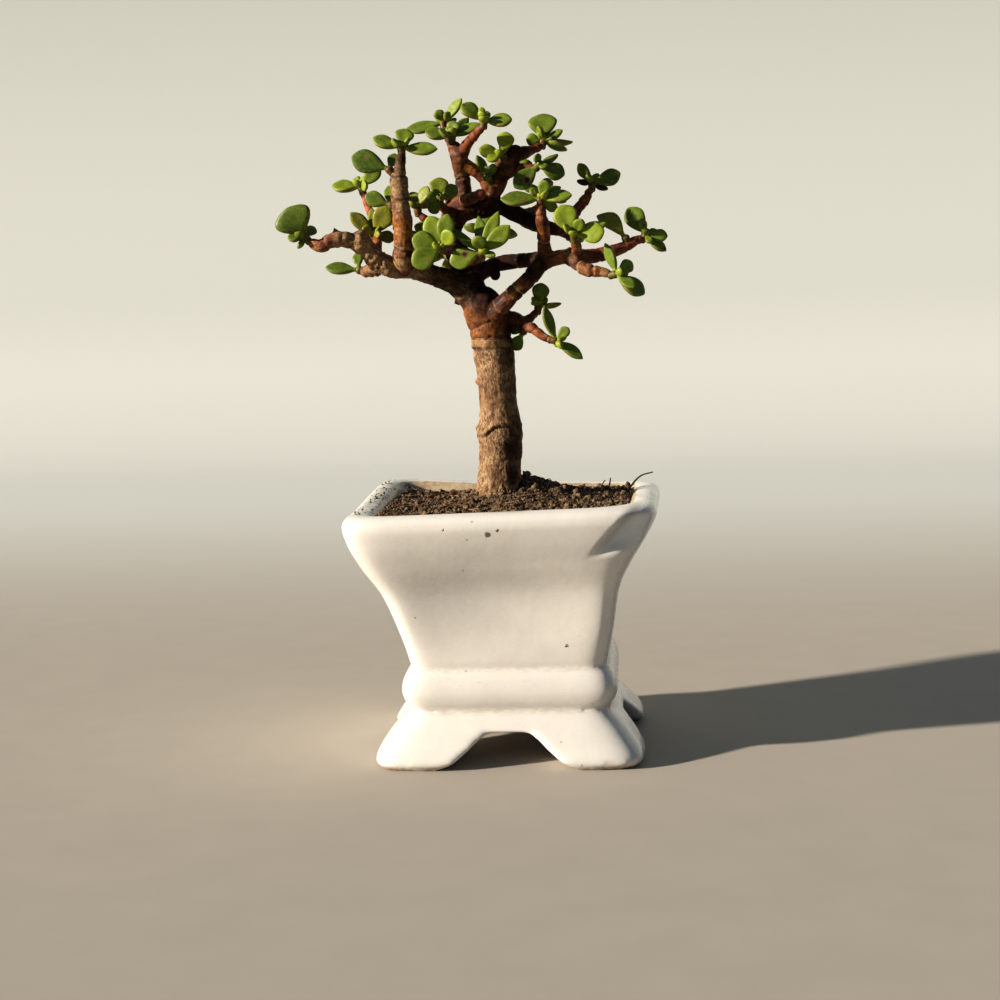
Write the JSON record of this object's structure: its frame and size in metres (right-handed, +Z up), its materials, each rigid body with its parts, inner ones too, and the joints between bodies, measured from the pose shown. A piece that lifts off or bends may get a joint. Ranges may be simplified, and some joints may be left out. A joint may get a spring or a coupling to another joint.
{
  "type": "jade bonsai",
  "caption": "Small dwarf jade bonsai with a knobby branched trunk and tufts of fleshy leaves, in a square flared pot of glazed ceramic on four arched feet.",
  "frame": {"origin": "on the surface the pot stands on, under the middle of the whole object's bounding box", "axes": "+Z up, +X to the right along the pot's front, +Y from the front to the back"},
  "size_m": [0.1166, 0.0948, 0.2015],
  "materials": {
    "glaze": "glossy warm white glaze",
    "soil": "crumbly dark potting mix",
    "bark": "flaky tan and red-brown bark",
    "leaf": "satin fleshy green leaf"
  },
  "bodies": {
    "root": {"pot": "glaze", "soil": "soil", "wood": "bark", "shoot_arch_leaf": "leaf", "shoot_back_left": "leaf", "shoot_back_left_high": "leaf", "shoot_back_low": "leaf", "shoot_back_mid": "leaf", "shoot_back_right": "leaf", "shoot_back_right_low": "leaf", "shoot_back_top": "leaf", "shoot_back_upper": "leaf", "shoot_far_left": "leaf", "shoot_far_right": "leaf", "shoot_front_left": "leaf", "shoot_front_mid": "leaf", "shoot_hanging_back": "leaf", "shoot_hanging_tip": "leaf", "shoot_hanging_up": "leaf", "shoot_inner_right": "leaf", "shoot_left_low": "leaf", "shoot_left_upper": "leaf", "shoot_left_young": "leaf", "shoot_mid_left": "leaf", "shoot_mid_upper": "leaf", "shoot_post_leaf": "leaf", "shoot_post_leaf_low": "leaf", "shoot_post_top": "leaf", "shoot_right_front": "leaf", "shoot_right_low": "leaf", "shoot_right_post": "leaf", "shoot_right_upper": "leaf", "shoot_top": "leaf", "shoot_top_fork": "leaf", "shoot_top_front": "leaf", "shoot_top_left": "leaf", "shoot_top_mid": "leaf", "shoot_top_right": "leaf"}
  },
  "joints": []
}
